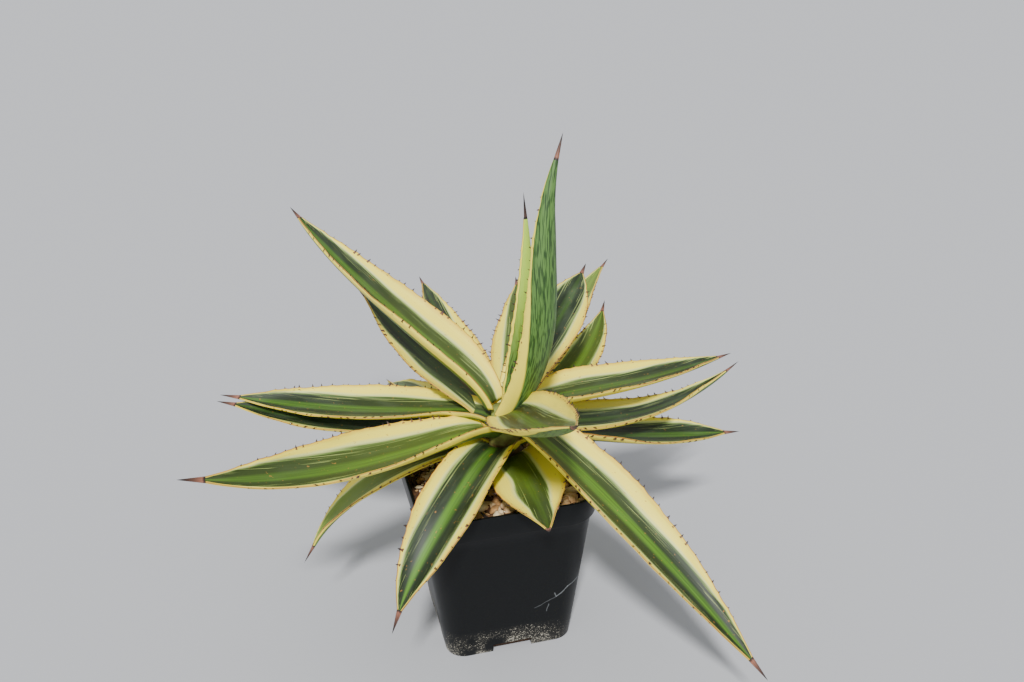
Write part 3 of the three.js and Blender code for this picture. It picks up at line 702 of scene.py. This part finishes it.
def potMaterial():
    # moulded black polypropylene, satin, with mineral flecks dried on where water stood at the foot
    material, tree = newMaterial("mouldedPolypropylene")
    dust, thread = linear(potPaint["dust"]), linear(potPaint["thread"])
    where = addNode(tree, "TexCoord", {}, {}, objectPlace)
    x, y, z = addNode(tree, "SeparateXYZ", {}, {0: where}).node.outputs
    stretched = addNode(tree, "VectorMath", times, {0: where, 1: potPaint["flakeSquash"]})
    flake = addNode(tree, "TexNoise", {}, {
        "Vector": stretched, "Scale": 1 / (potPaint["flake"] * mm), "Detail": 3.0, "Roughness": 0.7})
    cloud = addNode(tree, "TexNoise", {}, {
        "Vector": where, "Scale": 1 / (potPaint["cloud"] * mm), "Detail": 4.0})
    colour = addNode(tree, "ValToRGB", {"stops": potPaint["colours"]}, {0: flake})

    # dust: thickest at the foot, in clouds, more of it towards the left of the front
    low = addNode(tree, "MapRange", {}, {0: z, 1: potPaint["dustHeight"] * mm, 2: 0.0})
    left = addNode(tree, "MapRange", {}, {0: x, **dustMasks["left"]})
    amount = addNode(tree, "Math", times, {0: low, 1: left})
    clouds = addNode(tree, "MapRange", {}, {0: cloud, **dustMasks["clouds"]})
    amount = addNode(tree, "Math", times, {0: amount, 1: clouds})
    level = addNode(tree, "MapRange", {}, {0: amount, **dustMasks["level"]})
    over = addNode(tree, "Math", minus, {0: flake, 1: level})
    fleck = addNode(tree, "MapRange", {}, {0: over, **dustMasks["fleck"]})
    start = addNode(tree, "MapRange", {}, {0: amount, **dustMasks["start"]})
    fleck = addNode(tree, "Math", times, {0: fleck, 1: start})
    film = addNode(tree, "Math", times, {0: amount, 1: potPaint["film"]})
    colour = addNode(tree, "Mix", colours, {0: film, 6: colour, 7: dust}, 2)
    colour = addNode(tree, "Mix", colours, {0: fleck, 6: colour, 7: dust}, 2)

    # threads: the distance to each straight run, moved a little by noise
    bend = addNode(tree, "TexNoise", {}, {
        "Vector": where, "Scale": potPaint["wanderScale"], "Detail": 2.0}, 1)
    bend = addNode(tree, "VectorMath", minus, {0: bend, 1: (0.5, 0.5, 0.5)})
    bend = addNode(tree, "VectorMath", times, {0: bend, 1: potPaint["wander"]})
    moved = addNode(tree, "VectorMath", times, {0: where, 1: (1.0, 0.0, 1.0)})
    moved = addNode(tree, "VectorMath", plus, {0: moved, 1: bend})
    onFront = addNode(tree, "Math", {"operation": "LESS_THAN"}, {0: y, 1: potPaint["front"] * mm})
    for run in threads:
        start, end = (Vector((a, 0, b)) * mm for a, b in (run["from"], run["to"]))
        span = end - start
        fromStart = addNode(tree, "VectorMath", minus, {0: moved, 1: start})
        share = addNode(tree, "VectorMath", {"operation": "DOT_PRODUCT"},
                        {0: fromStart, 1: span / span.length_squared}, 1)
        share = addNode(tree, "MapRange", {}, {0: share})
        foot = addNode(tree, "VectorMath", {"operation": "SCALE"}, {0: span, "Scale": share})
        away = addNode(tree, "VectorMath", {"operation": "DISTANCE"}, {0: fromStart, 1: foot}, 1)
        outer, inner = (run["width"] * mm * part for part in potPaint["threadFade"])
        mark = addNode(tree, "MapRange", {}, {0: away, 1: outer, 2: inner, 4: run["strength"]})
        mark = addNode(tree, "Math", times, {0: mark, 1: onFront})
        colour = addNode(tree, "Mix", colours, {0: mark, 6: colour, 7: thread}, 2)

    rough = addNode(tree, "Math", timesPlus, {
        0: fleck, 1: potPaint["dustRoughness"], 2: potPaint["roughness"]})
    endMaterial(tree, potPaint, colour, rough, flake)
    return material


# A place on a rounded square: the column goes round it once
def squarePlace(column, width, corner):
    steps = pot["cornerSteps"] + pot["sideSteps"]
    quarter, i = divmod(column, steps)
    reach = width / 2 - corner
    if i <= pot["cornerSteps"]:
        angle = i / pot["cornerSteps"] * math.pi / 2
        spot = Vector((reach + corner * math.cos(angle), reach + corner * math.sin(angle)))
    else:
        share = (i - pot["cornerSteps"]) / pot["sideSteps"]
        spot = Vector((mix(reach, -reach, share), width / 2))
    spot.rotate(Matrix.Rotation(quarter * math.pi / 2, 2))
    return spot


potAround = 4 * (pot["cornerSteps"] + pot["sideSteps"])
rimFoot = pot["height"] - pot["rimHeight"]
rimFootWidth = pot["rimWidth"] - pot["rimFlare"]
bodyTopWidth = rimFootWidth - 2 * pot["rimOverhang"]
bodyCorner = pot["rimCorner"] - pot["rimOverhang"]


# Width, corner radius and height of a ring of the body or of the rim, drawn in by an inset
def bodyAt(height, inset):
    share = height / rimFoot
    width = mix(pot["footWidth"], bodyTopWidth, share) - 2 * inset
    return width, mix(pot["footCorner"], bodyCorner, share) - inset, height


def rimAt(height, inset):
    share = (height - rimFoot) / pot["rimHeight"]
    return mix(rimFootWidth, pot["rimWidth"], share) - 2 * inset, pot["rimCorner"] - inset, height


def loftSquare(profile):
    def shape(column, row):
        width, corner, height = profile[row]
        return (*squarePlace(column, width, corner), height)

    return wrapGrid(potAround, len(profile) - 1, shape)


# Boxes that cut the recess at the foot of each side, grown by the wall for the inside
def recessBoxes(grow):
    bm = bmesh.new()
    past = pot["cutPast"]
    outer = pot["footWidth"] / 2 + past
    inner = pot["footWidth"] / 2 - pot["recessDepth"] - grow
    width, height = pot["recessWidth"] + 2 * grow, pot["recessHeight"] + grow
    for side in range(4):
        made = bmesh.ops.create_cube(bm, size=1.0)["verts"]
        bmesh.ops.scale(bm, vec=(width, outer - inner, height + past), verts=made)
        bmesh.ops.translate(bm, vec=(0, (outer + inner) / 2, (height - past) / 2), verts=made)
        turn = Matrix.Rotation(side * math.pi / 2, 3, "Z")
        bmesh.ops.rotate(bm, cent=(0, 0, 0), matrix=turn, verts=made)
    return bm


def drainRods():
    bm = bmesh.new()
    for x, y in ((1, 1), (-1, 1), (-1, -1), (1, -1)):
        place = Matrix.Translation((x * pot["drainReach"], y * pot["drainReach"], 0))
        bmesh.ops.create_cone(bm, cap_ends=True, segments=32, radius1=pot["drainRadius"],
                              radius2=pot["drainRadius"], depth=pot["drainRun"], matrix=place)
    return bm


# Takes a cutter away from an object, and the cutter out of the scene
def cut(obj, bm, name):
    cutter = finishObject(bm, name, None, None)
    trim = obj.modifiers.new("cut", "BOOLEAN")
    trim.operation = "DIFFERENCE"
    trim.solver = "EXACT"
    trim.object = cutter
    bpy.context.view_layer.update()
    trimmed = bpy.data.meshes.new_from_object(obj.evaluated_get(bpy.context.evaluated_depsgraph_get()))
    obj.modifiers.remove(trim)
    obj.data = trimmed
    bpy.data.objects.remove(cutter)


def makePot():
    top, edge, wall, steps = pot["height"], pot["edge"], pot["wall"], pot["bodySteps"]
    bevel = edge * pot["edgeEase"]
    outer = [bodyAt(0, edge), bodyAt(bevel, bevel), bodyAt(edge, 0)]
    outer += [bodyAt(mix(edge, rimFoot - edge, i / steps), 0) for i in range(1, steps + 1)]
    outer += [bodyAt(rimFoot - pot["rimCrease"], -edge * 0.5), rimAt(rimFoot, edge)]
    outer += [rimAt(rimFoot + bevel, bevel), rimAt(rimFoot + edge, 0), rimAt(top - edge, 0)]
    outer += [rimAt(top - bevel, bevel), rimAt(top, edge)]
    shell = finishObject(loftSquare(outer), "potShell", "pot", "pot", potMaterial())
    inner = [bodyAt(pot["floor"], wall + edge), bodyAt(pot["floor"] + edge, wall)]
    inner += [bodyAt(rimFoot + wall, wall), rimAt(rimFoot + 2 * wall, wall)]
    inner += [rimAt(top + pot["mouthPast"], wall)]
    cavity = finishObject(loftSquare(inner), "cavity", None, None)
    cut(cavity, recessBoxes(wall), "innerBoxes")
    hollow = bmesh.new()
    hollow.from_mesh(cavity.data)
    for v in hollow.verts:
        v.co /= mm
    bpy.data.objects.remove(cavity)
    cut(shell, recessBoxes(0), "outerBoxes")
    cut(shell, hollow, "hollow")
    cut(shell, drainRods(), "drains")
    shell.data.set_sharp_from_angle(angle=math.radians(pot["sharpAngle"]))


makePot()
print("pot moulded")

# Soil: pumice, bark and grit up to 5 mm below the rim, with loose stones and bark chips on top
soil = {
    "belowRim": 5.0, "gap": 0.3, "topRows": 34, "seed": 5, "inset": 3.0, "bedTone": 0.2,
    "relief": 0.8, "reliefLength": 5, "fineRelief": 0.5, "fineLength": 2,
    "stones": 1050, "largest": 4.0, "smallest": 0.7, "sizePower": 2.8, "kinds": 5, "barkShare": 0.22,
    "lump": 0.55, "lumpScale": 1.3, "raised": 0.5, "overlap": 0.8, "stemGap": 0.5,
    "colours": ((0.0, "#20150c"), (0.3, "#5e3d20"), (0.6, "#b08450"), (0.95, "#e0cba2")),
    "grain": 1.4, "patch": 4.2, "patchShift": 0.5, "grainShift": 0.4, "toneStart": 0.45,
    "roughness": 0.92, "gloss": 0.5, "bump": 0.4, "bumpStrength": 0.8,
}

# Length, width and thickness for a size of 1, the steepest tilt in radians, and the tone: from and to for
# bark, middle and spread for pumice
chips = {
    "bark": {"spans": ((1.1, 1.7), (0.6, 0.9), (0.18, 0.3)), "tilt": 0.9, "tone": (0.0, 0.32)},
    "pumice": {"spans": ((0.8, 1.3), (0.7, 1.0), (0.45, 0.75)), "tilt": 0.5, "tone": (0.72, 0.26)},
}


def gritMaterial():
    # dry pumice and bark chips, broken and sieved: dull and dusty, from whitish tan to dark brown
    material, tree = newMaterial("pumiceAndBarkGrit")
    where = addNode(tree, "TexCoord", {}, {}, objectPlace)
    tone = addNode(tree, "Attribute", {"attribute_name": "gritTone"}, {}, 2)
    grain = addNode(tree, "TexNoise", {}, {
        "Vector": where, "Scale": 1 / (soil["grain"] * mm), "Detail": 5.0, "Roughness": 0.7})
    patch = addNode(tree, "TexNoise", {}, {
        "Vector": where, "Scale": 1 / (soil["patch"] * mm), "Detail": 3.0})
    mixed = addNode(tree, "Math", timesPlus, {0: patch, 1: soil["patchShift"], 2: tone})
    mixed = addNode(tree, "Math", timesPlus, {0: grain, 1: soil["grainShift"], 2: mixed})
    mixed = addNode(tree, "Math", minus, {0: mixed, 1: soil["toneStart"]})
    colour = addNode(tree, "ValToRGB", {"stops": soil["colours"]}, {0: mixed})
    endMaterial(tree, soil, colour, soil["roughness"], grain)
    return material


def stoneMesh(kind):
    bm = bmesh.new()
    bmesh.ops.create_icosphere(bm, subdivisions=2, radius=1.0)
    for v in bm.verts:
        v.co *= 1 + soil["lump"] * noise.noise(v.co * soil["lumpScale"] + Vector((kind * 9.1, 0, 0)))
    return meshOf(bm, "stone")


# Size, tone and lie of one stone or bark chip
def drawStone(rng):
    size = mix(soil["smallest"], soil["largest"], rng.random() ** soil["sizePower"])
    isBark = rng.random() < soil["barkShare"]
    chip = chips["bark" if isBark else "pumice"]
    squash = Vector([rng.uniform(*span) for span in chip["spans"]]) * size
    tilt = rng.uniform(-chip["tilt"], chip["tilt"])
    tone = rng.uniform(*chip["tone"]) if isBark else min(1, max(0, rng.gauss(*chip["tone"])))
    return size, squash, tilt, tone


def relief(x, y):
    broad, fine = soil["reliefLength"], soil["fineLength"]
    hills = soil["relief"] * noise.noise(Vector((x / broad, y / broad, 3)))
    return hills + soil["fineRelief"] * noise.noise(Vector((x / fine, y / fine, 8)))


def makeSoil():
    rng = random.Random(soil["seed"])
    surface = pot["height"] - soil["belowRim"]
    inset = pot["wall"] + soil["gap"]
    sides = [bodyAt(pot["floor"] + soil["gap"], inset), bodyAt(rimFoot, inset), rimAt(surface, inset)]

    def shape(column, row):
        width, corner, height = sides[min(row, len(sides) - 1)]
        spot = squarePlace(column, width, corner)
        if row < len(sides):
            return (*spot, height)
        spot *= 1 - (row - len(sides) + 1) / soil["topRows"]
        return (*spot, surface + relief(*spot))

    bm = wrapGrid(potAround, len(sides) + soil["topRows"] - 1, shape)
    toneLayer = bm.verts.layers.float.new("gritTone")
    for v in bm.verts:
        v[toneLayer] = soil["bedTone"]
    bm = settled(bm)
    toneLayer = bm.verts.layers.float["gritTone"]
    stones = [stoneMesh(kind) for kind in range(soil["kinds"])]
    reach = pot["rimWidth"] / 2 - soil["inset"]
    corner = pot["rimCorner"] - soil["inset"]
    placed = 0
    while placed < soil["stones"]:
        x, y = rng.uniform(-reach, reach), rng.uniform(-reach, reach)
        size, squash, tilt, tone = drawStone(rng)
        over = max(abs(x) - (reach - corner), 0), max(abs(y) - (reach - corner), 0)
        margin = size * soil["overlap"]
        outside = math.hypot(*over) > corner - margin or max(abs(x), abs(y)) > reach - margin
        if outside or math.hypot(x - stem["x"], y - stem["y"]) < stem["radius"] + soil["stemGap"]:
            continue
        placed += 1
        start = len(bm.verts)
        bm.from_mesh(rng.choice(stones))
        bm.verts.ensure_lookup_table()
        turn = Matrix.Rotation(rng.uniform(0, 2 * math.pi), 3, "Z") @ Matrix.Rotation(tilt, 3, "X")
        place = Vector((x, y, surface + relief(x, y) + rng.uniform(0.0, soil["raised"]) * size))
        for v in bm.verts[start:]:
            v.co = place + turn @ (v.co * squash)
            v[toneLayer] = tone
    for mesh in stones:
        bpy.data.meshes.remove(mesh)
    finishObject(bm, "soilGrit", "soil", "soil", gritMaterial())


makeSoil()
print("soil filled")

# Studio: a plain pale floor, an even fill, and a soft key light from above the camera
studio = {"floor": "#b2b3b6", "floorSize": 6.0, "floorRoughness": 0.9, "floorGloss": 0.2, "fill": 0.8,
          "sky": "#f0f2f6", "keyFrom": (-0.157, -0.478, 0.51), "keyStrength": 4.6, "keyAngle": 6}


def makeStudio():
    bm = bmesh.new()
    bmesh.ops.create_grid(bm, x_segments=4, y_segments=4, size=studio["floorSize"])
    mesh = meshOf(bm, "studioFloor")
    floor = bpy.data.objects.new("studioFloor", mesh)
    bpy.context.scene.collection.objects.link(floor)
    material, tree = newMaterial("mattPaperFloor")
    shader = addNode(tree, "BsdfPrincipled", {}, {
        "Base Color": linear(studio["floor"]), "Roughness": studio["floorRoughness"],
        "Specular IOR Level": studio["floorGloss"]})
    addNode(tree, "OutputMaterial", {}, {"Surface": shader})
    mesh.materials.append(material)
    world = bpy.data.worlds.new("studioFill")
    world.use_nodes = True
    background = world.node_tree.nodes["Background"]
    background.inputs["Color"].default_value = linear(studio["sky"])
    background.inputs["Strength"].default_value = studio["fill"]
    bpy.context.scene.world = world
    data = bpy.data.lights.new("keyLight", "SUN")
    data.energy = studio["keyStrength"]
    data.angle = math.radians(studio["keyAngle"])
    key = bpy.data.objects.new("keyLight", data)
    key.rotation_euler = (-Vector(studio["keyFrom"])).to_track_quat("-Z", "Y").to_euler()
    bpy.context.scene.collection.objects.link(key)


makeStudio()
print("studio lit")
